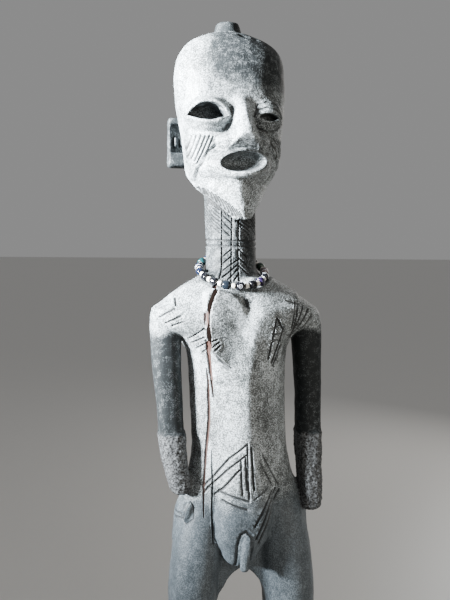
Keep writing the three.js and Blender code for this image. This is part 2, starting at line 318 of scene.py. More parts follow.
class Loft:
    """The field of a body given by its level sections."""

    def __init__(self, rows, rounding):
        table = np.array(rows, float)
        self.low, self.high = table[0, 0], table[-1, 0]
        self.rounding = rounding
        self.levels = np.arange(self.low, self.high + 0.5, 0.5)
        self.columns = [eased(self.levels, table[:, 0], table[:, i]) for i in range(1, 8)]

    def section(self, p):
        z = p[:, 2]
        x, y, half, front, back, front_power, back_power = (
            np.interp(z, self.levels, column) for column in self.columns
        )
        ahead = p[:, 1] < y
        depth = np.where(ahead, front, back)
        power = np.where(ahead, front_power, back_power)
        u = np.maximum(np.abs(p[:, 0] - x) / half, 1e-4)
        v = np.maximum(np.abs(p[:, 1] - y) / depth, 1e-4)
        q = (u**power + v**power) ** (1 / power)
        reach = np.hypot(p[:, 0] - x, p[:, 1] - y)
        deep = -np.minimum(half, np.minimum(front, back))
        side = np.where(q < 0.2, deep, reach * (1 - 1 / np.maximum(q, 1e-3)))
        return blend_max(side, np.maximum(self.low - z, z - self.high), self.rounding)

    def __call__(self, p):
        distance = np.full(len(p), 30.0)
        near = (p[:, 2] > self.low - 15) & (p[:, 2] < self.high + 15)
        distance[near] = self.section(p[near])
        return distance


# ---- the carved log

SKULL = Loft(SKULL_ROWS, 4)
NECK = Loft(NECK_ROWS, 3)
NOSE = Loft(NOSE_ROWS, 3)
JAW = Loft(JAW_ROWS, 4)
TRUNK = Loft(TRUNK_ROWS, 8)
PELVIS = Loft(PELVIS_ROWS, 5)
ARMS = [Loft(LEFT_ARM_ROWS, 4), Loft(RIGHT_ARM_ROWS, 4)]


def leg_rows(side):
    wide = 28 if side < 0 else 32
    x = 5 + side * 61
    rows = [
        (15, x - side * 16, 8, wide - 4, 72, 32),
        (36, x - side * 16, 8, wide - 5, 66, 30),
        (52, x - side * 16, 8, wide - 9, 40, 26),
        (70, x - side * 15, 8, wide - 10, 26, 24),
        (100, x - side * 13, 6, wide - 8, 24, 28),
        (140, x - side * 10, -4, wide - 6, 24, 32),
        (185, x - side * 6, -20, wide - 7, 26, 26),
        (215, x - side * 3, -22, wide - 6, 30, 26),
        (250, x - side, -18, wide - 4, 32, 30),
        (310, x, -12, wide, 36, 34),
        (370, x - side * 6, -8, wide + 2, 33, 38),
        (410, x - side * 12, -5, wide, 31, 40),
        (452, x - side * 22, -2, wide - 6, 24, 36),
    ]
    return [(*row, 2.2, 2.2) for row in rows]


LEGS = [Loft(leg_rows(side), 5) for side in (-1, 1)]


def nose(p):
    """The ridge and its two wings, cut off underneath by a flat slope that faces the mouth."""
    made = NOSE(p)
    for side in (-1, 1):
        wing = ellipsoid(p, (FACE_X + 1 + side * 18, -45, 855), (13, 16, 10), lean=side * 22)
        made = blend_min(made, wing, 5)
    under = 0.78 * (850.5 - 0.8 * (p[:, 1] + 62) - p[:, 2])
    return blend_max(made, under, 1.5)


def lips(p):
    """A raised rim round the open mouth, curving back towards its corners."""
    q = turned(p, (MOUTH[0] + 1.5, 0, MOUTH[1]), lean=-5)
    half, rise = 28.5, 13.0
    around = np.maximum(np.hypot(q[:, 0] / half, q[:, 2] / rise), 1e-3)
    across = np.hypot(q[:, 0], q[:, 2]) * (1 - 1 / around)
    back = -65 + 0.014 * q[:, 0] ** 2 + 0.006 * q[:, 2] ** 2
    thick = 4.0 - 1.6 * smooth_step(q[:, 2], 0, 12)
    return np.hypot(across, 0.8 * (q[:, 1] - back)) - thick


def mouth_hole(p):
    return ellipsoid(p, (MOUTH[0] + 2, -66, MOUTH[1] + 0.5), (26.5, 19, 10.5), lean=-5)


def almond(p, side):
    """Distance in the XZ plane from an eye's hole: a high arc over a flatter one."""
    x, z, half, rise, fall = EYE_HOLES[side]
    across, up = p[:, 0] - x, p[:, 2] - z
    upper = (half**2 + rise**2) / (2 * rise)
    lower = (half**2 + fall**2) / (2 * fall)
    above = np.hypot(across, up - rise + upper) - upper
    below = np.hypot(across, up + fall - lower) - lower
    return blend_max(above, below, 0.8)


def eye(p, side, shape):
    """The bulge of an eye with a lid round its hole, which is cut deep into the head."""
    x, z, half, depth, turn = EYES[side]
    bulge = ellipsoid(p, (x, -38, z), (half, depth, 20), yaw=turn)
    shape = blend_min(shape, bulge, 2.5)
    opening = almond(p, side)
    lid = np.hypot(opening - 2.6, bulge + 0.4) - LID_RADIUS[side]
    shape = blend_min(shape, lid, 1.8)
    return blend_max(shape, -blend_max(opening, p[:, 1] - EYE_FLOOR[side], 2), 1.2)


def ear(p, side):
    """A block with a recess in its front, and two ribs in the recess."""
    x = -9.5 + side * EAR_X
    shape = block(p, (x, 56, EAR_Z), (15, 11, 29.5), 2.2)
    recess = block(p, (x + side * 0.5, 44, 873), (13, 8, 17), 1)
    shape = blend_max(shape, -recess, 1)
    for offset in (-1, 6):
        rib = block(p, (x + side * offset, 50, 868), (1.6, 5, 6), 0.8)
        shape = blend_min(shape, rib, 1)
    return shape


def head(p):
    shape = blend_min(SKULL(p), between(p, 765, 840, JAW, 30.0), 10)
    for side, (x, z, *_) in EYES.items():
        hollow = ellipsoid(p, (x - side * 13, -58, z - 6), (18, 22, 19))
        shape = blend_max(shape, -hollow, 6)
        cheek = ellipsoid(p, (x, -24, 846), (19, 21, 24))
        shape = blend_min(shape, cheek, 12)
        shape = eye(p, side, shape)
        shape = blend_min(shape, ear(p, side), 2)
    shape = blend_min(shape, ellipsoid(p, (MOUTH[0] - 1, -40, 831), (39, 27, 19)), 5)
    shape = blend_min(shape, nose(p), 3)
    shape = blend_min(shape, lips(p), 3)
    return blend_max(shape, -mouth_hole(p), 1)


def breast(p, trunk):
    """The breast on +X: a ridge that comes down and inwards, and falls away on both sides."""
    x, y, z = p.T
    beside = x - np.interp(z, [585, 610, 642, 686, 705], [4, 5, 9, 31, 42])
    ridge = np.interp(z, [585, 610, 642, 670, 690, 705], [47, 47, 47, 45, 40, 32])
    front = ridge - np.where(beside < 0, -0.3, 0.24) * beside
    made = np.maximum(0.92 * (-y - front), 30 - ridge)
    made = blend_max(made, np.abs(beside) - 40, 4)
    return blend_max(made, trunk - 7, 3)


def chest_relief(p, trunk):
    """The breast on +X, the notch beside it under the throat, and the raised plate on -X."""
    x, y, z = p.T
    shape = blend_min(trunk, breast(p, trunk), 5)
    notch = blend_max(polygon(x, z, THROAT_NOTCH), y + 31, 3)
    shape = blend_max(shape, -notch, 3)
    face = 46.5 - 0.09 * (x + 40) - 0.0014 * (z - 638) ** 2
    plate = blend_max(polygon(x, z, CHEST_PLATE), -y - face, 1.2)
    return blend_min(shape, np.maximum(plate, y), 1.5)


def pelvis(p, trunk):
    """The shield of the belly stands in front of the groins, and the peg in front of it."""
    shape = blend_min(trunk, PELVIS(p), 2)
    shape = blend_min(shape, limb(p, (4, -48, 402), (0, -51, 367), 7, 5.5), 1.5)
    return blend_min(shape, ellipsoid(p, (-62.5, -22, 427.5), (6, 5.5, 13), lean=18), 3)


def crotch(p):
    """The web between the thighs, with a round arch under it."""
    arch = 349 - 0.036 * (p[:, 0] - 5) ** 2 - p[:, 2]
    return blend_max(block(p, (5, 4, 352), (36, 27, 50), 8), 0.5 * arch, 3)


def back_relief(p, trunk):
    """Shoulder blades, the furrow of the spine and the two buttocks."""
    shape = trunk
    for side in (-1, 1):
        blade = ellipsoid(p, (side * 38, 30, 640), (30, 16, 36), lean=side * 12)
        shape = blend_min(shape, blade, 14)
        shape = blend_min(shape, ellipsoid(p, (5 + side * 36, 28, 400), (38, 33, 44)), 10)
    furrow = limb(p, (0, 56, 650), (4, 56, 450), 9, 11)
    return blend_max(shape, -furrow, 20)


def plinth(p):
    half_x, half_y = PLINTH_HALF
    slab = block(p, (0, 0, PLINTH_HEIGHT / 2), (half_x, half_y, PLINTH_HEIGHT / 2), 3)
    corner = np.hypot(
        np.maximum(np.abs(p[:, 0]) - (half_x - PLINTH_CORNER), 0),
        np.maximum(np.abs(p[:, 1]) - (half_y - PLINTH_CORNER), 0),
    )
    return blend_max(slab, corner - PLINTH_CORNER, 3)


def lower_body(p):
    shape = TRUNK(p)
    shape = between_joined(p, 585, 705, chest_relief, shape)
    shape = between_joined(p, 330, 700, back_relief, shape)
    for leg in LEGS:
        shape = blend_min(shape, leg(p), 8)
    shape = blend_min(shape, between(p, 300, 400, crotch, 30.0), 5)
    return between_joined(p, 320, 495, pelvis, shape)


def loop_point(turn):
    """The middle of the string, from the throat at turn 0 round by +X."""
    angle = 2 * math.pi * turn
    back = -np.cos(angle) * LOOP_HALF_Y
    x = LOOP_X + np.sin(angle) * LOOP_HALF_X
    return np.stack([x, LOOP_Y + back, LOOP_Z + LOOP_RISE * back], -1)


def necklace_bed(p, trunk):
    """Keeps the shoulders and the neck clear of the beads as they lie at rest."""
    loop = loop_point(np.linspace(0, 1, 180))
    from_string = np.sqrt(((p[:, None] - loop) ** 2).sum(2)).min(1)
    return blend_max(trunk, BEAD_RADIUS + 0.5 - from_string, 3)


def figure_field(p):
    """Below zero inside the log, and about the distance from its surface in millimetres."""
    shape = lower_body(p)
    shape = blend_min(shape, NECK(p), 7)
    for arm in ARMS:
        shape = blend_min(shape, arm(p), 4)
    shape = blend_min(shape, between(p, 755, 1000, head, 30.0), 4)
    shape = blend_min(shape, between(p, -20, 45, plinth, 30.0), 4)
    shape = shape + 0.4 * value_noise(p, 11.0) + 0.22 * value_noise(p, 5.0)
    shape = between_joined(p, 680, 742, necklace_bed, shape)
    from_axis = np.hypot(p[:, 0] - SOCKET_X, p[:, 1] - SOCKET_Y)
    socket = np.maximum(from_axis - SOCKET_RADIUS, SOCKET_FLOOR - p[:, 2])
    seat = np.maximum(from_axis - SEAT_RADIUS, SEAT_Z - p[:, 2])
    shape = blend_max(shape, -socket, 0.6)
    shape = blend_max(shape, -seat, 0.6)
    slot = block(p, SLOT_MIDDLE, SLOT_HALF, 0.6, lean=8)
    return blend_max(shape, -slot, 0.6)


# ---- cut lines

# The shade of a crack that opens raw wood.
RAW = -1
# The paths of the cuts, each as a distance across and a height. On the front the distance is X,
# round the neck it follows the bark, on the side of -X it runs back and on the right forwards.
BELLY_CUTS = [
    [(2, 514), (-18, 496), (-37, 470), (-46, 460)],
    [(1, 501), (-18, 484), (-38, 462), (-45, 453)],
    [(-6, 483), (-24, 461), (-33, 452)],
    [(2, 514), (5, 448)],
    [(6.5, 510), (11, 459)],
    [(-5, 494), (-3, 454)],
    [(0, 498), (2.5, 460)],
    [(-29, 457), (-6, 450), (5, 446)],
    [(-25, 447), (-10, 441), (3, 437)],
    [(35, 453), (12, 416)],
    [(40, 455), (14, 400)],
    [(45, 452), (17, 394)],
]
FAINT_CUTS = [
    [(22, 498), (44, 458)],
    [(18, 491), (36, 458)],
    [(12, 448), (26, 457)],
    [(-83, 423), (-68, 422.5)],
    [(-82, 416.5), (-68, 417.5)],
    [(50, 679), (69, 674)],
    [(36, 648), (41, 651)],
    [(34, 640), (43, 641)],
    [(33, 632), (39, 634)],
]
CHEST_CUTS = [
    [(-96, 660), (-79.5, 670.5)],
    [(-89, 653), (-73, 662)],
    [(-82, 650), (-71, 655)],
    [(-78, 682), (-78, 674)],
    [(-62, 635), (-46.5, 648)],
    [(-59, 629.5), (-45, 638)],
    [(-53, 623.5), (-43.5, 631)],
    [(-47, 619), (-43, 623)],
    [(-40.5, 634), (-34, 636)],
    [(-39.5, 627), (-32, 633)],
    [(-39, 621), (-31, 629)],
    [(-39, 622), (-27, 609), (-17, 603)],
    [(-34, 617), (-24, 608)],
    [(37.5, 659), (27.5, 612)],
    [(37.5, 659), (46, 645), (32, 607)],
    [(43, 627), (34, 603.5)],
    [(62, 677), (59, 646)],
    [(67, 679), (60, 636)],
    [(74, 672), (58, 634)],
    [(81, 668), (54, 623)],
    [(86, 660), (60, 626)],
]
CHEEK_CUTS = [
    [(-67, 862), (-70, 848)],
    [(-62.5, 863), (-68.5, 844)],
    [(-58, 863), (-66, 841)],
    [(-53, 863), (-63, 838)],
    [(-48.5, 862), (-59.5, 835)],
    [(-44, 862), (-57, 832)],
    [(-40, 861), (-54, 829)],
]
NECK_CUTS = [
    [(-17.8, 790), (-17.8, 700)],
    [(-6, 790), (-6, 700)],
    [(2.3, 784), (2.3, 700)],
    [(-17.5, 728), (-6, 738)],
    [(-17.5, 720), (-6, 729.5)],
    [(-17.5, 712), (2, 726)],
    [(-15, 705.5), (2, 720.5)],
    [(-9, 703), (2, 715.5)],
    [(-3, 702), (2, 709)],
    [(-17, 778), (-6.5, 769)],
    [(-17, 770.5), (-6.5, 760.5)],
    [(-17, 762), (-8, 754)],
    [(3, 738), (14, 728)],
    [(3, 728), (17, 716)],
    [(3, 719), (14, 709)],
]
CRACKS = [
    [(-31, 698, 3.5), (-37, 688, 4.6), (-41.5, 677, 4.8), (-44.5, 664, 5.4), (-44.5, 652, 5.2)],
    [(-44.5, 652, 5.2), (-43, 641, 5.0), (-42, 623.5, 4.4), (-39.5, 606, 3.6), (-35, 567, 1.4)],
    [(-42.5, 600, 1.0), (-40.5, 585, 2.2), (-39.3, 554, 3.0), (-39.2, 537, 3.0), (-41, 513, 3.0)],
    [(-41, 513, 3.0), (-43.5, 484, 2.6), (-45.5, 460, 2.4), (-45.3, 424, 1.2)],
    [(-36.3, 503, 0.9), (-36, 461, 2.4), (-35.5, 413, 2.6), (-35, 392, 1.4)],
]


def with_width(path, width):
    return [(u, z, width) for u, z in path]


def cuts_along(paths, frame_name, depth, shade, width):
    """A cut for each path: its frame, its depth, how dark its floor is painted as shade in the groove,
    and the path's widths.
    """
    return [(frame_name, depth, shade, with_width(path, width)) for path in paths]


def body_cuts():
    cuts = cuts_along(BELLY_CUTS, "front", 2.2, 0.95, 3.5)
    cuts += cuts_along(FAINT_CUTS, "front", 1.2, 0.75, 2.8)
    cuts += cuts_along(CHEST_CUTS, "front", 1.9, 1.0, 3.0)
    cuts += [("front", 2.3, RAW, path) for path in CRACKS[:-1]]
    cuts.append(("front", 4.0, 0.9, CRACKS[-1]))
    # The groove beside the peg and over its top, and the scar on the hip.
    peg = [(-9, 367), (-8.5, 395), (-5, 407), (1, 411), (8, 406), (9, 392), (6.5, 369)]
    scar = [(-66, 413), (-57, 421), (-56, 433), (-59, 441), (-66, 433), (-69, 420), (-66, 413)]
    return cuts + cuts_along([peg], "front", 2.6, 0.3, 4.6) + cuts_along([scar], "front", 0.9, 0.5, 2.2)


def head_cuts():
    cuts = cuts_along(CHEEK_CUTS, "front", 1.6, 0.95, 2.7)
    right_cheek = [[(46 - 4.2 * i, 862), (40 - 4.4 * i, 840 + 2.2 * i)] for i in range(6)]
    cuts += cuts_along(right_cheek, "right", 1.4, 0.95, 2.5)
    # Two folds over the eye on +X and one under it.
    for rise in (0, 6.5):
        lid = [(3, 882), (8, 891 + rise), (19, 894 + rise), (30, 892 + rise), (37, 885)]
        cuts += cuts_along([lid], "front", 1.5, 0.8, 2.4)
    fold = [(3, 878), (9, 871), (20, 867.5), (31, 870), (38, 878)]
    cuts += cuts_along([fold], "front", 1.4, 0.6, 2.6)
    # The creases from the wings of the nose round the muzzle.
    crease = [(-25, 853), (-34, 854), (-44, 846), (-51, 837), (-55, 826), (-55, 815)]
    mirrored = [(2 * FACE_X - x, z) for x, z in crease]
    cuts += cuts_along([crease, mirrored], "front", 2.2, 0.15, 5.0)
    # Beard strokes down the underside of the jaw, and the lines at the jaw's lower right.
    for i in range(13):
        x, z = -54 + 3.6 * i, 812 - 2.7 * i
        cuts.append(("front", 1.4, 0.95, [(x, z, 2.4), (x + 10, z - 15, 1.8)]))
    for i in range(3):
        jaw = [(8 + 5 * i, 822 - 5 * i), (18 + 4 * i, 826 - 4 * i), (25 + 3 * i, 834 - 3 * i)]
        cuts += cuts_along([jaw], "front", 0.8, 0.3, 2.0)
    edge = [(-16, 976, 1.2), (-14, 950, 2.0), (-11, 915, 1.8), (-8, 888, 1.2)]
    return cuts + [("side", 1.6, 0.9, edge)]


def neck_cuts():
    cuts = cuts_along(NECK_CUTS, "neck", 1.8, 0.95, 2.5)
    for z in (748.5, 742):
        cuts.append(("neck", 1.4, 0.6, [(-92, z + 2, 3.4), (0, z - 1, 3.4), (92, z + 1, 3.4)]))
    for column, (left, right) in enumerate(((-46, -33), (-32, -19.5), (4, 17), (18, 31))):
        for i in range(8):
            z = 757 + 4.4 * i + 1.5 * (column % 2)
            cuts.append(("neck", 1.2, 0.85, [(left, z + 7, 2.2), (right, z - 2, 1.8)]))
    return cuts


CUTS = body_cuts() + head_cuts() + neck_cuts()


def frames_of(p):
    """Each frame's across value for every point, and which points lie on its side of the log."""
    round_neck = np.arctan2(p[:, 0] - NECK_X, NECK_Y - p[:, 1]) * NECK_RADIUS
    on_neck = np.hypot(p[:, 0] - NECK_X, p[:, 1] - NECK_Y) < NECK_RADIUS + 6
    return {
        "front": (p[:, 0], p[:, 1] < 3),
        "neck": (round_neck, on_neck & (p[:, 2] < 795) & (p[:, 2] > 695)),
        "side": (p[:, 1], p[:, 0] < -45),
        "right": (-p[:, 1], (p[:, 0] > 22) & (p[:, 2] > 800)),
    }


def share_of_width(u, z, path):
    """Distance from a path as a share of its half width."""
    nearest = np.full(len(u), 9.0)
    for (u0, z0, w0), (u1, z1, w1) in zip(path, path[1:]):
        du, dz = u1 - u0, z1 - z0
        t = np.clip(((u - u0) * du + (z - z0) * dz) / (du * du + dz * dz), 0, 1)
        distance = np.hypot(u - u0 - t * du, z - z0 - t * dz)
        nearest = np.minimum(nearest, distance / (0.5 * (w0 + t * (w1 - w0))))
    return nearest


def cut_into(p):
    """How deep the cuts go at each point, how dark their floors are painted as shade in the
    grooves, where they show raw wood, and which points are near one."""
    depth, dark, raw = np.zeros(len(p)), np.zeros(len(p)), np.zeros(len(p))
    near = np.zeros(len(p), bool)
    frames = frames_of(p)
    for frame_name, deep, shade, path in CUTS:
        across, side = frames[frame_name]
        us, zs, widths = zip(*path)
        reach = 1.5 + max(widths)
        mask = side & (across > min(us) - reach) & (across < max(us) + reach)
        mask &= (p[:, 2] > min(zs) - reach) & (p[:, 2] < max(zs) + reach)
        index = np.nonzero(mask)[0]
        if not len(index):
            continue
        share = share_of_width(across[index], p[index, 2], path)
        if shade == RAW:
            profile = smooth_step(1.25 - share, 0, 0.45)
            raw[index] = np.maximum(raw[index], smooth_step(1.15 - share, 0, 0.3))
        else:
            profile = np.maximum(1 - share, 0)
            lip = np.maximum(1 - np.abs(share - 1.35) / 0.4, 0)
            dark[index] = np.maximum(dark[index], shade * smooth_step(1.05 - share, 0, 0.8))
            profile = profile - 0.18 * lip
        deeper = np.abs(deep * profile) > np.abs(depth[index])
        depth[index] = np.where(deeper, deep * profile, depth[index])
        near[index] |= share < 1.0 + 1.2 / (0.5 * min(widths))
    return depth, dark, raw, near


# ---- from field to mesh


def surface(field, low, high, cell):
    """Points and triangles of the zero surface of a field inside a box."""
    low = np.asarray(low, float) - 3 * cell
    count = np.ceil((np.asarray(high, float) - low) / cell).astype(int) + 4
    x, y, z = (low[i] + cell * np.arange(count[i]) for i in range(3))
    values = np.empty(tuple(count), np.float32)
    for i in range(count[0]):
        grid_y, grid_z = np.meshgrid(y, z, indexing="ij")
        p = np.stack([np.full(grid_y.size, x[i]), grid_y.ravel(), grid_z.ravel()], 1)
        values[i] = field(p).reshape(grid_y.shape)
    grid = openvdb.FloatGrid(3 * cell)
    grid.copyFromArray(np.clip(values, -3 * cell, 3 * cell))
    points, quads = grid.convertToQuads(isovalue=0.0)
    points = points.astype(float) * cell + low
    triangles = np.concatenate([quads[:, [0, 1, 2]], quads[:, [0, 2, 3]]]).astype(int)
    a, b, c = (points[triangles[:, i]] for i in range(3))
    if (a * np.cross(b, c)).sum() < 0:
        triangles = triangles[:, ::-1]
    return points, triangles


def refine(points, triangles, longest):
    """Splits each edge that is longer than longest(its middle), and the triangles on it."""
    corners = triangles[:, [0, 1, 1, 2, 2, 0]].reshape(-1, 2)
    edges, slot = np.unique(np.sort(corners, 1), axis=0, return_inverse=True)
    middle = points[edges].mean(1)
    length = np.linalg.norm(points[edges[:, 0]] - points[edges[:, 1]], axis=1)
    split = length > longest(middle)
    added = np.full(len(edges), -1)
    added[split] = len(points) + np.arange(split.sum())
    marks = added[slot.reshape(-1)].reshape(-1, 3)
    number = (marks >= 0).sum(1)
    made = [triangles[number == 0]]
    for turn in range(3):
        triangle = np.roll(triangles, -turn, 1)
        mark = np.roll(marks, -turn, 1)
        one = (number == 1) & (mark[:, 0] >= 0)
        a, b, c = triangle[one].T
        m = mark[one, 0]
        made += [np.stack([a, m, c], 1), np.stack([m, b, c], 1)]
        two = (number == 2) & (mark[:, 2] < 0)
        a, b, c = triangle[two].T
        m, n = mark[two, 0], mark[two, 1]
        made += [np.stack(t, 1) for t in ((m, b, n), (a, m, n), (a, n, c))]
    a, b, c = triangles[number == 3].T
    m, n, o = marks[number == 3].T
    made += [np.stack(t, 1) for t in ((a, m, o), (m, b, n), (o, n, c), (m, n, o))]
    return np.concatenate([points, middle[split]]), np.concatenate(made)


PROBES = np.array([(1, -1, -1), (-1, -1, 1), (-1, 1, -1), (1, 1, 1)], float)


def slope_of(field, points, step=0.3):
    """A field's value and outward slope, from four probes round each point."""
    values = [field(points + step * probe) for probe in PROBES]
    slope = sum(v[:, None] * probe for v, probe in zip(values, PROBES)) / (4 * step)
    return sum(values) / 4, slope


def settle(field, points, rounds):
    """Moves points onto the zero surface of a field."""
    for _ in range(rounds):
        value, slope = slope_of(field, points)
        steep = np.maximum((slope**2).sum(1), 0.3)
        move = slope * (value / steep)[:, None]
        size = np.linalg.norm(move, axis=1)
        points = points - move * np.minimum(1, 2.0 / np.maximum(size, 1e-6))[:, None]
    return points


def vertex_normals(points, triangles):
    a, b, c = (points[triangles[:, i]] for i in range(3))
    face = np.cross(b - a, c - a)
    total = np.zeros_like(points)
    for i in range(3):
        for axis in range(3):
            total[:, axis] += np.bincount(triangles[:, i], face[:, axis], len(points))
    return total / np.maximum(np.linalg.norm(total, axis=1), 1e-9)[:, None]


def linked(name, data):
    """A new object in the scene."""
    made = bpy.data.objects.new(name, data)
    bpy.context.scene.collection.objects.link(made)
    return made


def mesh_object(name, points, triangles, values=None, colour=None):
    """A smooth mesh object from millimetre points, with named values for each vertex."""
    mesh = bpy.data.meshes.new(name)
    mesh.vertices.add(len(points))
    mesh.vertices.foreach_set("co", (points * MM).astype(np.float32).ravel())
    mesh.loops.add(triangles.size)
    mesh.loops.foreach_set("vertex_index", triangles.astype(np.int32).ravel())
    mesh.polygons.add(len(triangles))
    mesh.polygons.foreach_set("loop_start", np.arange(0, triangles.size, 3, dtype=np.int32))
    mesh.update(calc_edges=True)
    mesh.validate()
    mesh.shade_smooth()
    for label, value in (values or {}).items():
        attribute = mesh.attributes.new(label, "FLOAT", "POINT")
        attribute.data.foreach_set("value", value.astype(np.float32))
    if colour is not None:
        attribute = mesh.attributes.new("glass_colour", "FLOAT_COLOR", "POINT")
        attribute.data.foreach_set("color", colour.astype(np.float32).ravel())
    return linked(name, mesh)


def hand_share(p):
    """One on the rough hands, nothing elsewhere."""
    top = np.where(p[:, 0] < 0, 521, 517) + 2 * value_noise(p, 5)
    on_arm = np.minimum(ARMS[0](p), ARMS[1](p)) < 1.5
    return on_arm * smooth_step(top - p[:, 2], 0, 3)


def arm_patina_and_shade(p, wander):
    """Nearly all of it is left on the arms below the caps of the shoulders, and a touch more on their
    inner sides as painted shade towards the body.
    """
    outward, z = np.abs(p[:, 0]), p[:, 2]
    nearer = lower_body(p) - np.minimum(ARMS[0](p), ARMS[1](p))
    below_cap = smooth_step(668 - 0.2 * outward - z + 5 * wander, 0, 12)
    return smooth_step(nearer, -3, 3) * below_cap * (0.985 + 0.015 * smooth_step(outward, 98, 86))


def ear_patina_and_hollow_shade(p):
    """Black patina on the ears, and painted shade in the eye holes, inside the mouth and under the
    nose.
    """
    x, y, z = p.T
    at_ear = (y > 42) & (np.abs(x - FACE_X) > 46) & (np.abs(z - 868) < 31)
    eye_hole_shade = (np.minimum(almond(p, -1), almond(p, 1)) < 0.3) & (y < -20) & (z < 910) & (z > 870)
    on_muzzle = (y < -40) & (z > 815) & (z < 856) & (np.abs(x - MOUTH[0]) < 32)
    mouth_shade = on_muzzle * smooth_step(1.2 - mouth_hole(p), 0, 1)
    nose_underside_shade = smooth_step(850 - 0.8 * (y + 62) - z, -2.5, 0.5) * smooth_step(z, 838, 844)
    nose_underside_shade = on_muzzle * nose_underside_shade * smooth_step(24 - np.abs(x + 9), 0, 5)
    return np.maximum.reduce([0.96 * at_ear, 0.78 * eye_hole_shade, 0.52 * mouth_shade, 0.62 * nose_underside_shade])


def head_patina_and_shade(p, wander):
    """Patina with painted shade on the crown and the forehead, darker towards +X away from the window
    light, and a film of painted shade on the cheek on +X.
    """
    x, _, z = p.T
    drift = z + 9 * wander + 7 * value_noise(p, 24)
    crown = smooth_step(x + 0.5 * (z - 960) + 6 * wander, 8, 40) * smooth_step(drift, 885, 955)
    forehead = smooth_step(drift, 886, 934) * smooth_step(x + 8 * wander, -58, -30)
    cheek = smooth_step(x + 5 * wander, 8, 26) * smooth_step(z, 808, 845)
    return np.maximum.reduce([0.86 * crown, 0.95 * forehead, 0.4 * cheek])


# Black patina round the neck, with painted shade under the head.
def neck_patina_and_shade(p, wander):
    from_neck = np.hypot(p[:, 0] - NECK_X, p[:, 1] - NECK_Y) - NECK_RADIUS
    level = smooth_step(p[:, 2] + 4 * wander, 690, 706) * smooth_step(812 - p[:, 2], 0, 14)
    return 0.88 * level * smooth_step(7 - from_neck, 0, 4)


def patina_and_shade_share(p):
    """How much of the old black patina, with the painted shade mixed into it, is at each point. The
    worn trunk has none.
    """
    wander = value_noise(p, 9)
    layers = [arm_patina_and_shade(p, wander), ear_patina_and_hollow_shade(p), head_patina_and_shade(p, wander)]
    return np.maximum.reduce([*layers, neck_patina_and_shade(p, wander)])


def leg_tone_and_shade_share(p):
    """One on the hips and legs, nothing above the belly: blue-grey wood painted darker as the shade
    where the window light falls off.
    """
    return smooth_step(470 - p[:, 2] + 8 * value_noise(p, 9), 0, 45)


def longest_edge(middle):
    """The longest edge allowed at each place on the log."""
    x, y, z = middle.T
    longest = np.full(len(middle), PLAIN_EDGE)
    longest[(np.abs(x) > 58) & (z > 405) & (z < 525)] = ROUGH_EDGE
    at_seat = (z > 970) & (np.hypot(x - SOCKET_X, y - SOCKET_Y) < SEAT_RADIUS + 2)
    longest[at_seat] = ROUGH_EDGE
    on_face = (y < -10) & (z > 780) & (z < 925)
    longest[on_face] = FACE_EDGE
    face = middle[on_face]
    rims = np.minimum(np.abs(almond(face, -1)), np.abs(almond(face, 1)))
    rims = np.minimum(rims, np.abs(mouth_hole(face)))
    longest[on_face] = np.where(rims < 2, CUT_EDGE, longest[on_face])
    longest[cut_into(middle)[3]] = CUT_EDGE
    return longest


def hang(made, body, node, material):
    """Hangs a finished piece on its body in place of its CAD node."""
    made.data.materials.append(material)
    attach(made, body)
    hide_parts(node)


def carve_figure(material):
    low, high = (np.array(corner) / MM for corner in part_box("carved_log"))
    points, triangles = surface(figure_field, low, high, VOXEL)
    points = settle(figure_field, points, 2)
    for _ in range(3):
        points, triangles = refine(points, triangles, longest_edge)
    points = settle(figure_field, points, 2)
    depth, dark, raw, _ = cut_into(points)
    hands = hand_share(points)
    rough = hands * (0.75 * value_noise(points, 3.4) + 0.45 * value_noise(points, 1.9))
    normals = vertex_normals(points, triangles)
    values = {"cut": dark, "raw_wood": raw, "hand": hands}
    values |= {"patina_and_shade": patina_and_shade_share(points), "leg_tone_and_shade": leg_tone_and_shade_share(points)}
    points = points + normals * (rough - depth)[:, None]
    points[:, 2] = np.maximum(points[:, 2], 0)
    figure = mesh_object("figure", points, triangles, values)
    hang(figure, "figure", "carved_log", material)


# ---- stopper, beads, string

# The stopper's outline as radius and height, from its plug up to its knob.
STOPPER_OUTLINE = [(0, 945), (13.7, 945), (16.2, 961), (16.2, 981.3), (21.9, 981.3), (22.5, 982.3)]
STOPPER_OUTLINE += [(21.5, 984.2), (17.5, 984.8), (14.3, 995.4), (13.4, 997.2), (11.3, 998), (0, 998)]
NAVY = (0.003, 0.005, 0.014)
BLACK = (0.002, 0.002, 0.003)
SLATE = (0.004, 0.006, 0.009)
TEAL = (0.003, 0.030, 0.034)
PURPLE = (0.008, 0.004, 0.020)
MAUVE = (0.160, 0.120, 0.130)
GREEN = (0.020, 0.035, 0.026)
TRAIL = (0.36, 0.37, 0.41)
# Each eye bead's trail and the colour of its glass, from the knot round by -X.
EYE_BEAD_STYLES = [
    ("plain", BLACK), ("eyes", NAVY), ("plain", TEAL), ("rim", NAVY), ("plain", NAVY),
    ("plain", BLACK), ("plain", BLACK), ("plain", SLATE), ("eyes", BLACK), ("plain", BLACK),
    ("trail", PURPLE), ("eyes", BLACK), ("rim", MAUVE), ("dots", GREEN), ("plain", BLACK),
    ("eyes", NAVY), ("rim", BLACK),
]


def sampled(corners, step):
    """The corners of an outline with points added so that none is more than a step apart."""
    made = [corners[0]]
    for start, end in zip(corners, corners[1:]):
        count = max(1, math.ceil(math.dist(start, end) / step))
        for i in range(1, count + 1):
            share = i / count
            made.append([a + share * (b - a) for a, b in zip(start, end)])
    return np.array(made, float)


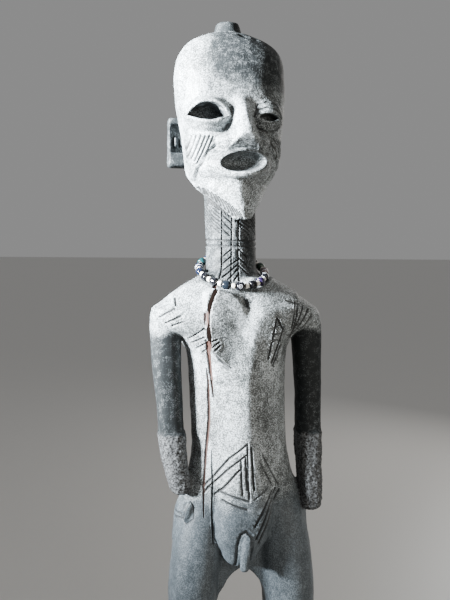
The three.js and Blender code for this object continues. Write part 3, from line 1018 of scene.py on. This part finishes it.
def lathe(outline, sides):
    """Points and triangles of a closed outline, radius and height, turned about the Z axis."""
    rows = len(outline)
    angle = np.arange(sides) * 2 * math.pi / sides
    radius, height = outline[:, :1], outline[:, 1:]
    points = np.stack(
        [radius * np.cos(angle), radius * np.sin(angle), height + 0 * angle], 2
    ).reshape(-1, 3)
    i, j = (grid.ravel() for grid in np.meshgrid(np.arange(rows), np.arange(sides), indexing="ij"))
    a, b = i * sides + j, i * sides + (j + 1) % sides
    c, d = (i + 1) % rows * sides + (j + 1) % sides, (i + 1) % rows * sides + j
    triangles = np.concatenate([np.stack([a, b, c], 1), np.stack([a, c, d], 1)])
    points, index = np.unique(points.round(4), axis=0, return_inverse=True)
    triangles = index.reshape(-1)[triangles]
    whole = (triangles != np.roll(triangles, 1, 1)).all(1)
    return points, triangles[whole]


def carve_stopper(material):
    points, triangles = lathe(sampled(STOPPER_OUTLINE, 0.9), 140)
    points += (SOCKET_X, SOCKET_Y, 0)
    above = smooth_step(points[:, 2], 981.5, 984)
    normals = vertex_normals(points, triangles)
    uneven = above * (0.35 * value_noise(points, 6) + 0.12 * value_noise(points, 2.2))
    points = points + normals * (uneven - 0.3 * above)[:, None]
    knob = 0.88 + 0.12 * smooth_step(points[:, 2], 984.5, 986.5)
    stopper = mesh_object("stopper", points, triangles, {"patina_and_shade": knob})
    hang(stopper, "stopper", "crown_stopper", material)


def bead_outline(radius, half, hole, power, flat):
    """A closed barrel outline with a straight hole; its ends are flat out to a share of its radius."""
    reach = (1 - flat**power) ** (1 / power)
    height = np.linspace(-reach, reach, 46)
    wall = radius * (1 - np.abs(height) ** power) ** (1 / power)
    outer = list(zip(wall, half * height / reach))
    inner = [(hole, half), (hole, 0.3 * half), (hole, -0.3 * half), (hole, -half)]
    return np.array(outer + inner, float)


def trail_share(style, points):
    """Where a bead is painted with pale glass, from its own axes: eyes, dots, a wave or a rim."""
    turn = np.arctan2(points[:, 1], points[:, 0])
    along = points[:, 2]
    if style == "rim":
        return smooth_step(0.5 - np.abs(np.abs(along) - 3.6), 0, 0.3)
    if style == "trail":
        wave = 1.9 * np.sin(3 * turn) + 0.5 * np.sin(5 * turn + 1)
        return smooth_step(0.55 - np.abs(along - wave), 0, 0.3)
    if style == "plain":
        return np.zeros(len(points))
    count, ring = (4, 2.1) if style == "eyes" else (7, 0.3)
    share = np.zeros(len(points))
    for i in range(count):
        centre = i * 2 * math.pi / count
        apart = (turn - centre + math.pi) % (2 * math.pi) - math.pi
        level = 0.5 * (-1) ** i if style == "eyes" else 2.2 * (-1) ** i
        distance = np.hypot(BEAD_RADIUS * apart, along - level)
        mark = smooth_step(0.45 - np.abs(distance - ring), 0, 0.3)
        if style == "eyes":
            mark = np.maximum(mark, smooth_step(0.7 - distance, 0, 0.3))
        share = np.maximum(share, mark)
    return share


def string_up(node, points, triangles, ahead, **values):
    """Turns a bead's axis along the string, and puts it at its CAD node's middle."""
    low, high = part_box(node)
    turn = np.array(Vector(ahead).to_track_quat("Z", "X").to_matrix())
    points = points @ turn.T + np.array(0.5 * (low + high)) / MM
    return mesh_object(f"{node}_glass", points, triangles, **values)


def worn_bead(points, triangles, hole, lift):
    """Moves a bead's points outward by a lift, except in its hole."""
    outside = np.hypot(points[:, 0], points[:, 1]) > hole + 0.5
    return points + vertex_normals(points, triangles) * (outside * lift)[:, None]


def eye_bead(style, glass, seed):
    """A dark bead with its trails a little raised, and the colour of its glass at each point."""
    outline = bead_outline(BEAD_RADIUS, BEAD_HALF, BEAD_HOLE, 3, 0.62)
    points, triangles = lathe(outline, 96)
    share = trail_share(style, points)
    colour = np.ones((len(points), 4))
    colour[:, :3] = (1 - share)[:, None] * np.array(glass) + share[:, None] * np.array(TRAIL)
    lift = 0.12 * share - 0.15 + 0.12 * value_noise(points + 40 * seed, 4)
    return worn_bead(points, triangles, BEAD_HOLE, lift), triangles, colour


def spacer_bead(seed):
    outline = bead_outline(SPACER_RADIUS, SPACER_HALF, SPACER_HOLE, 4, 0.7)
    points, triangles = lathe(outline, 40)
    lift = 0.22 * value_noise(points + 40 * seed, 2.6) - 0.22
    return worn_bead(points, triangles, SPACER_HOLE, lift), triangles


def string_beads(dark_glass, pale_glass):
    """Eye beads and spacers in turn along the string, from the knot round by -X."""
    count = len(EYE_BEAD_STYLES)
    eyes = [f"eye_bead_{i + 1:02d}" for i in range(count)]
    spacers = [f"spacer_bead_{i + 1:02d}" for i in range(count - 1)]
    order = [node for pair in zip(eyes, [*spacers, ""]) for node in pair][:-1]
    middles = [sum(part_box(node), Vector()) for node in order]
    for i, node in enumerate(order):
        ahead = middles[min(i + 1, len(order) - 1)] - middles[max(i - 1, 0)]
        if node in eyes:
            points, triangles, colour = eye_bead(*EYE_BEAD_STYLES[i // 2], i)
            bead = string_up(node, points, triangles, ahead, colour=colour)
            hang(bead, "necklace", node, dark_glass)
        else:
            bead = string_up(node, *spacer_bead(i), ahead)
            hang(bead, "necklace", node, pale_glass)


def swept(path, radius, twist_pitch=None):
    """A cord along a path with closed ends. With a pitch it is two plies twisted together."""
    sides = 14
    ahead = np.gradient(path, axis=0)
    ahead /= np.linalg.norm(ahead, axis=1)[:, None]
    out = np.cross(ahead[0], (0.31, 0.22, 0.93))
    length = np.concatenate([[0], np.cumsum(np.linalg.norm(np.diff(path, axis=0), axis=1))])
    angle = np.arange(sides) * 2 * math.pi / sides
    rings = []
    for point, along, distance in zip(path, ahead, length):
        out = out - (out @ along) * along
        out /= np.linalg.norm(out)
        reach = np.full(sides, radius)
        if twist_pitch:
            lobe = np.abs(np.cos(angle - 2 * math.pi * distance / twist_pitch))
            reach = radius * (1 + 0.9 * lobe)
        across = np.cos(angle)[:, None] * out + np.sin(angle)[:, None] * np.cross(along, out)
        rings.append(point + reach[:, None] * across)
    points = np.concatenate([*rings, path[:1], path[-1:]])
    i, j = np.meshgrid(np.arange(len(path) - 1), np.arange(sides), indexing="ij")
    i, j, k = i.ravel() * sides, j.ravel(), (j.ravel() + 1) % sides
    triangles = [np.stack([i + j, i + k, i + sides + k], 1)]
    triangles.append(np.stack([i + j, i + sides + k, i + sides + j], 1))
    j = np.arange(sides)
    k = (j + 1) % sides
    first, last = len(points) - 2, len(points) - 1
    top = (len(path) - 1) * sides
    triangles.append(np.stack([np.full(sides, first), k, j], 1))
    triangles.append(np.stack([np.full(sides, last), top + j, top + k], 1))
    return points, np.concatenate(triangles)


def knot_cords():
    """The knot at the nape, a pulled-up overhand turn, and its two tails."""
    nape = loop_point(np.array(0.5))
    t = np.linspace(0, 2 * math.pi, 90)
    turns = [np.sin(t) + 2 * np.sin(2 * t), -np.sin(3 * t), np.cos(t) - 2 * np.cos(2 * t)]
    knot = nape + (0, 0.6, 0) + np.stack(turns, 1) * (0.62, 0.62, 0.45)
    cords = [swept(knot, 0.7)]
    for side in (-1, 1):
        share = np.linspace(0, 1, 40)[:, None]
        start = nape + (side, 1, 0)
        reach = 8.4 * np.array([0.28 * side, 0.33, -0.90])
        bend = np.sin(math.pi * share) * (0.5 * side, 0.6, 0.2)
        cords.append(swept(start + share * reach + bend, 0.36, 2.4))
    return cords


def twist_string(material):
    around = loop_point(np.linspace(0.5, 1.5, 1400))
    cords = [swept(around, PLY_RADIUS, TWIST_PITCH), *knot_cords()]
    starts = np.cumsum([0] + [len(points) for points, _ in cords])
    points = np.concatenate([points for points, _ in cords])
    triangles = np.concatenate([part + start for (_, part), start in zip(cords, starts)])
    string = mesh_object("string", points, triangles)
    hang(string, "necklace", "necklace_string", material)


# ---- materials


class Graph:
    """Builds a material's nodes. Sockets and plain numbers can both be given as inputs."""

    def __init__(self, name):
        self.material = bpy.data.materials.new(name)
        self.material.use_nodes = True
        self.tree = self.material.node_tree
        self.shader = self.tree.nodes["Principled BSDF"]
        self.place = self.tree.nodes.new("ShaderNodeTexCoord").outputs["Object"]

    def feed(self, socket, value):
        if isinstance(value, bpy.types.NodeSocket):
            self.tree.links.new(value, socket)
        else:
            socket.default_value = value

    def paint(self, colour, roughness, specular=0.5):
        looks = {"Base Color": colour, "Roughness": roughness, "Specular IOR Level": specular}
        for name, value in looks.items():
            self.feed(self.shader.inputs[name], value)

    def node(self, kind, inputs, **settings):
        made = self.tree.nodes.new(f"ShaderNode{kind}")
        for name, setting in settings.items():
            setattr(made, name, setting)
        for name, value in inputs.items():
            self.feed(made.inputs[name], value)
        return made

    def math(self, operation, a, b, clamp):
        return self.node("Math", {0: a, 1: b}, operation=operation, use_clamp=clamp).outputs[0]

    def plus(self, a, b):
        return self.math("ADD", a, b, False)

    def times(self, a, b, clamp=False):
        return self.math("MULTIPLY", a, b, clamp)

    def attribute(self, name, output="Fac"):
        return self.node("Attribute", {}, attribute_name=name).outputs[output]

    def noise(self, cell, detail=3.0, stretch=1.0):
        """Noise whose features are about a cell, in millimetres, across, and longer in height."""
        mapping = self.node("Mapping", {"Scale": (1, 1, 1 / stretch), "Vector": self.place})
        inputs = {"Scale": 1 / (cell * MM), "Detail": detail, "Vector": mapping.outputs[0]}
        return self.node("TexNoise", inputs).outputs["Fac"]

    def spread(self, value, low, high, to_low=0.0, to_high=1.0):
        limits = {"From Min": low, "From Max": high, "To Min": to_low, "To Max": to_high}
        return self.node("MapRange", {"Value": value, **limits}).outputs[0]

    def mix(self, share, a, b):
        inputs = {"Factor": share, "A": a, "B": b}
        return self.node("Mix", inputs, data_type="RGBA").outputs["Result"]

    def bump(self, height, distance, strength):
        inputs = {"Height": height, "Distance": distance * MM, "Strength": strength}
        self.feed(self.shader.inputs["Normal"], self.node("Bump", inputs).outputs[0])


# Black patina, also used as painted shade.
PATINA_AND_SHADE_BLACK = (0.016, 0.018, 0.019, 1)
GREY_WOOD = (0.20, 0.215, 0.215, 1)
PALE_WOOD = (0.60, 0.65, 0.69, 1)
# The blue-grey wood of the hips and legs, painted darker as the shade below the belly.
SHADED_LEG_GREY = (0.059, 0.075, 0.090, 1)
SHADED_LEG_DARK = (0.032, 0.040, 0.047, 1)
# Painted shade for the floors of the cuts.
CUT_SHADE = (0.018, 0.018, 0.018, 1)
RAW_BROWN = (0.056, 0.025, 0.018, 1)
RAW_DARK = (0.034, 0.016, 0.012, 1)
HAND_PALE = (0.14, 0.145, 0.15, 1)
HAND_DARK = (0.022, 0.021, 0.021, 1)


def wear(graph, fleck, grain, patch):
    """How far the black has worn off, in fine flecks, along the grain and in wide blotches."""
    blotch = graph.noise(32, 3, 1.6)
    worn = graph.spread(fleck, 0.38, 0.62, 0.03, 0.53)
    worn = graph.plus(worn, graph.times(graph.spread(grain, 0.3, 0.7), 0.12))
    worn = graph.plus(worn, graph.spread(patch, 0.35, 0.65, -0.06, 0.12))
    return graph.plus(worn, graph.spread(blotch, 0.35, 0.65, -0.08, 0.14))


def silvery_wood(graph, worn):
    """Black, grey and pale wood by its wear, with dark pits, and blue-grey from the hips down, painted
    darker there as shade.
    """
    colour = graph.mix(graph.times(worn, 1.6, True), PATINA_AND_SHADE_BLACK, GREY_WOOD)
    colour = graph.mix(graph.spread(worn, 0.36, 0.9), colour, PALE_WOOD)
    pits = graph.spread(graph.noise(1.05, 2), 0.56, 0.66)
    colour = graph.mix(graph.times(pits, 0.74), colour, PATINA_AND_SHADE_BLACK)
    # From the hips down: blue-grey wood with painted shade where the window light falls off.
    leg_tone_and_shade = graph.mix(graph.spread(worn, 0.1, 0.8), SHADED_LEG_DARK, SHADED_LEG_GREY)
    return graph.mix(graph.times(graph.attribute("leg_tone_and_shade"), 0.85), colour, leg_tone_and_shade)


def worn_wood(name):
    """Blackened wood worn to a silvery grey, with raw brown cracks, and painted shade in the cuts, in
    the hollows of the face and on the side away from the window.
    """
    graph = Graph(name)
    grain = graph.noise(1.6, 4, 6)
    fleck = graph.noise(1.35, 3)
    patch = graph.noise(7, 3)
    colour = silvery_wood(graph, wear(graph, fleck, grain, patch))
    # The patina values carry black patina and painted shade: both darken the wood here.
    dark_patina_and_shade = graph.times(graph.attribute("patina_and_shade"), graph.spread(patch, 0.35, 0.6, 1.12, 0.95))
    dark_patina_and_shade = graph.times(dark_patina_and_shade, graph.spread(fleck, 0.42, 0.68, 1.04, 0.88), True)
    colour = graph.mix(dark_patina_and_shade, colour, PATINA_AND_SHADE_BLACK)
    hand = graph.mix(graph.spread(graph.noise(1.9, 3), 0.40, 0.62), HAND_DARK, HAND_PALE)
    colour = graph.mix(graph.times(graph.attribute("hand"), 0.9), colour, hand)
    # The floors of the cuts are painted dark: painted shade in the grooves.
    colour = graph.mix(graph.attribute("cut"), colour, CUT_SHADE)
    brown = graph.mix(graph.spread(grain, 0.3, 0.7), RAW_BROWN, RAW_DARK)
    colour = graph.mix(graph.attribute("raw_wood"), colour, brown)
    roughness = graph.spread(fleck, 0.3, 0.7, 0.40, 0.6)
    graph.paint(colour, roughness, graph.spread(dark_patina_and_shade, 0, 1, 0.30, 0.06))
    graph.bump(graph.plus(graph.times(fleck, 0.8), grain), 0.35, 0.7)
    return graph.material


def trailed_glass():
    """Dark wound glass; the trails and the colour of each bead are kept on its mesh."""
    graph = Graph("dark_glass")
    glass = graph.attribute("glass_colour", "Color")
    cloud = graph.spread(graph.noise(1.8, 3), 0.45, 0.7, 0.0, 0.02)
    colour = graph.mix(cloud, glass, (0.30, 0.31, 0.33, 1))
    graph.paint(colour, 0.14, 0.35)
    graph.bump(graph.noise(1.4, 2), 0.08, 0.3)
    return graph.material


def chalky_glass():
    graph = Graph("pale_glass")
    stain = graph.spread(graph.noise(1.6, 3), 0.35, 0.7)
    colour = graph.mix(stain, (0.80, 0.78, 0.73, 1), (0.60, 0.56, 0.49, 1))
    graph.paint(colour, 0.42)
    graph.bump(graph.noise(0.8, 2), 0.12, 0.6)
    return graph.material


def brown_cord():
    graph = Graph("cord")
    fibre = graph.spread(graph.noise(0.5, 2), 0.35, 0.65)
    colour = graph.mix(fibre, (0.030, 0.022, 0.016, 1), (0.085, 0.066, 0.048, 1))
    graph.paint(colour, 0.9)
    graph.bump(fibre, 0.1, 0.6)
    return graph.material


# ---- stage


def make_camera():
    data = bpy.data.cameras.new("view_camera")
    data.sensor_width = 36
    data.lens = 36
    data.clip_start = 0.01
    camera = linked("view_camera", data)
    towards = Vector((-math.sin(CAMERA_BEARING), math.cos(CAMERA_BEARING), 0))
    right = Vector((math.cos(CAMERA_BEARING), math.sin(CAMERA_BEARING), 0))
    place = right * CAMERA_SIDEWAYS - towards * CAMERA_DISTANCE
    place += Vector((CAMERA_X, 0, CAMERA_HEIGHT))
    look = towards * math.cos(CAMERA_PITCH) - Vector((0, 0, math.sin(CAMERA_PITCH)))
    aim = look.to_track_quat("-Z", "Y").to_matrix().to_4x4()
    roll = Matrix.Rotation(CAMERA_ROLL, 4, "Z")
    camera.matrix_world = Matrix.Translation(place) @ aim @ roll
    bpy.context.scene.camera = camera


def make_floor():
    half = 40.0
    mesh = bpy.data.meshes.new("floor")
    corners = [(-half, -half, 0), (half, -half, 0), (half, half, 0), (-half, half, 0)]
    mesh.from_pydata(corners, [], [(0, 1, 2, 3)])
    material = bpy.data.materials.new("pale_floor")
    material.use_nodes = True
    shader = material.node_tree.nodes["Principled BSDF"]
    shader.inputs["Base Color"].default_value = (0.70, 0.69, 0.67, 1)
    shader.inputs["Roughness"].default_value = 0.9
    mesh.materials.append(material)
    linked("floor", mesh)


def area_light(name, place, target, size, power, colour):
    data = bpy.data.lights.new(name, "AREA")
    data.shape = "RECTANGLE"
    data.size, data.size_y = size
    data.energy = power
    data.color = colour
    light = linked(name, data)
    light.location = place
    aim = Vector(target) - Vector(place)
    light.rotation_euler = aim.to_track_quat("-Z", "Y").to_euler()
    return data


COOL_LIGHT = (0.91, 0.965, 1.0)


def make_lights():
    window = area_light("window", (-1.60, -0.36, 1.12), (0, 0, 0.97), (0.35, 0.5), 68, COOL_LIGHT)
    window.spread = math.radians(40)
    area_light("room_fill", (0.9, -1.6, 0.8), (0, 0, 0.6), (1.4, 1.4), 17.0, (1.0, 0.95, 0.85))
    area_light("far_side", (1.3, 1.2, 1.2), (0, 0, 0.6), (0.9, 1.2), 8.0, (1.0, 0.97, 0.93))
    world = bpy.data.worlds.new("studio")
    world.use_nodes = True
    background = world.node_tree.nodes["Background"]
    background.inputs["Color"].default_value = (0.80, 0.80, 0.80, 1)
    background.inputs["Strength"].default_value = 0.34
    bpy.context.scene.world = world


make_camera()
make_floor()
make_lights()
carve_figure(worn_wood("carved_wood"))
carve_stopper(worn_wood("stopper_wood"))
string_beads(trailed_glass(), chalky_glass())
twist_string(brown_cord())
